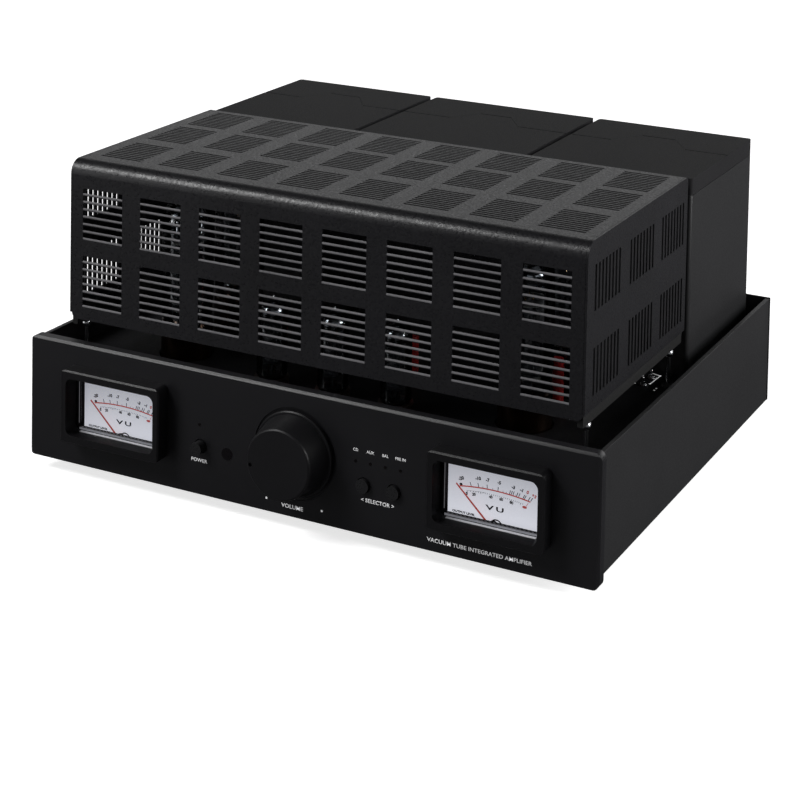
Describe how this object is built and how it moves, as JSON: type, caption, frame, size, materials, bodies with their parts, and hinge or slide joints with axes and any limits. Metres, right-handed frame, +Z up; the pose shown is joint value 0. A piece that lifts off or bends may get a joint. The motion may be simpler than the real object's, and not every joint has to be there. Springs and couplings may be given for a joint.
{
  "type": "integrated amplifier",
  "caption": "Low black stereo amplifier with needle meters, a big volume knob, a lift-off vented tube cage and transformer cans behind it.",
  "frame": {"origin": "bottom centre of the overall box, on the floor under the feet", "axes": "+Z up, the faceplate looks along -Y, +X to the right seen from the front"},
  "size_m": [0.43, 0.394, 0.218],
  "materials": {
    "faceplate_black": "fine satin black, chamfered edge",
    "zinc_steel": "plain zinc plated sheet",
    "chassis_black": "semi-gloss black powder coat",
    "cage_black": "textured black powder coat",
    "rail_black": "matt black",
    "rubber_black": "matt soft rubber",
    "foot_plastic": "moulded black plastic",
    "bezel_black": "black moulding, satin",
    "case_black": "matt black moulding",
    "dial_white": "cool white printed scale",
    "clear_glass": "clear pane",
    "tube_glass": "clear blown glass with a silvered top",
    "needle_red": "thin red needle",
    "knob_black": "turned and coated black, fine grain",
    "steel_bright": "bright turned steel",
    "pot_grey": "plain pressed metal",
    "button_black": "satin black button",
    "switch_black": "black moulding",
    "lamp_red": "small clear red lamp",
    "ir_dark": "dark red see-through plastic",
    "board_green": "green circuit board",
    "can_black": "satin black powder coat",
    "core_steel": "stacked laminations",
    "copper_wire": "varnished copper winding",
    "screw_zinc": "zinc plated screw",
    "screw_black": "black oxide screw",
    "pin_chrome": "polished pin and round nut",
    "base_brown": "brown glossy tube base",
    "plate_grey": "carbonised tube plate",
    "socket_ceramic": "dark moulded socket hung under the deck",
    "switch_steel": "nickel plated switch",
    "lever_chrome": "small polished lever",
    "standoff_brass": "hexagon brass post",
    "cap_sleeve": "dark printed sleeve",
    "cap_red": "red dipped capacitor",
    "jack_gold": "gold plated",
    "post_cap_black": "knurled black cap",
    "inlet_black": "moulded inlet"
  },
  "bodies": {
    "chassis": {"faceplate": "faceplate_black", "front_subpanel": "zinc_steel", "deck_plate": "chassis_black", "side_plate_left": "chassis_black", "side_plate_right": "chassis_black", "rear_panel": "chassis_black", "bottom_cover": "chassis_black", "corner_brackets": "zinc_steel", "feet": "foot_plastic", "foot_pads": "rubber_black", "meter_bezel_left": "bezel_black", "meter_bezel_right": "bezel_black", "meter_cases": "case_black", "meter_dial_left": "dial_white", "meter_dial_right": "dial_white", "meter_glass_left": "clear_glass", "meter_glass_right": "clear_glass", "volume_pot": "pot_grey", "power_switch": "switch_black", "panel_lamps": "lamp_red", "receiver_window": "ir_dark", "button_board": "board_green", "can_left": "can_black", "can_centre": "can_black", "can_right": "can_black", "can_lids": "can_black", "transformer_cores": "core_steel", "transformer_windings": "copper_wire", "can_screws": "screw_zinc", "cage_sockets": "rubber_black", "power_tube_bases": "base_brown", "power_tube_glass": "tube_glass", "power_tube_plates": "plate_grey", "small_tube_glass": "tube_glass", "small_tube_plates": "plate_grey", "tube_sockets": "socket_ceramic", "toggle_bodies": "switch_steel", "main_board": "board_green", "board_standoffs": "standoff_brass", "board_capacitors": "cap_sleeve", "coupling_capacitors": "cap_red", "input_jacks": "jack_gold", "speaker_posts": "jack_gold", "speaker_caps": "post_cap_black", "mains_inlet": "inlet_black", "rear_screws": "screw_black"},
    "cage": {"cage_wrap": "cage_black", "cage_side_left": "cage_black", "cage_side_right": "cage_black", "cage_rails": "rail_black", "cage_pins": "pin_chrome"},
    "knob": {"volume_knob": "knob_black", "volume_shaft": "steel_bright"},
    "power_push": {"power_button": "button_black"},
    "selector_push_left": {"selector_button_left": "button_black"},
    "selector_push_right": {"selector_button_right": "button_black"},
    "needle_left": {"meter_needle_left": "needle_red"},
    "needle_right": {"meter_needle_right": "needle_red"},
    "toggle_front": {"toggle_lever_front": "lever_chrome"},
    "toggle_rear": {"toggle_lever_rear": "lever_chrome"}
  },
  "joints": [
    {"name": "cage_lift", "type": "slide", "parent": "chassis", "child": "cage", "axis": [0, 0, 1], "range_m": [0, 0.13]},
    {"name": "volume_turn", "type": "hinge", "parent": "chassis", "child": "knob", "pos_m": [0, -0.175, 0.053], "axis": [0, 1, 0], "range_deg": [-48, 248]},
    {"name": "power_press", "type": "slide", "parent": "chassis", "child": "power_push", "axis": [0, 1, 0], "range_m": [0, 0.002], "stiffness_N_per_m": 900},
    {"name": "selector_left_press", "type": "slide", "parent": "chassis", "child": "selector_push_left", "axis": [0, 1, 0], "range_m": [0, 0.0015], "stiffness_N_per_m": 900},
    {"name": "selector_right_press", "type": "slide", "parent": "chassis", "child": "selector_push_right", "axis": [0, 1, 0], "range_m": [0, 0.0015], "stiffness_N_per_m": 900},
    {"name": "needle_left_swing", "type": "hinge", "parent": "chassis", "child": "needle_left", "pos_m": [-0.14, -0.1685, 0.0286], "axis": [0, 1, 0], "range_deg": [0, 93]},
    {"name": "needle_right_swing", "type": "hinge", "parent": "chassis", "child": "needle_right", "pos_m": [0.1425, -0.1685, 0.0286], "axis": [0, 1, 0], "range_deg": [0, 93]},
    {"name": "toggle_front_flip", "type": "hinge", "parent": "chassis", "child": "toggle_front", "pos_m": [0.176, 0.001, 0.074], "axis": [-1, 0, 0], "range_deg": [0, 20]},
    {"name": "toggle_rear_flip", "type": "hinge", "parent": "chassis", "child": "toggle_rear", "pos_m": [0.176, 0.017, 0.074], "axis": [-1, 0, 0], "range_deg": [0, 20]}
  ]
}
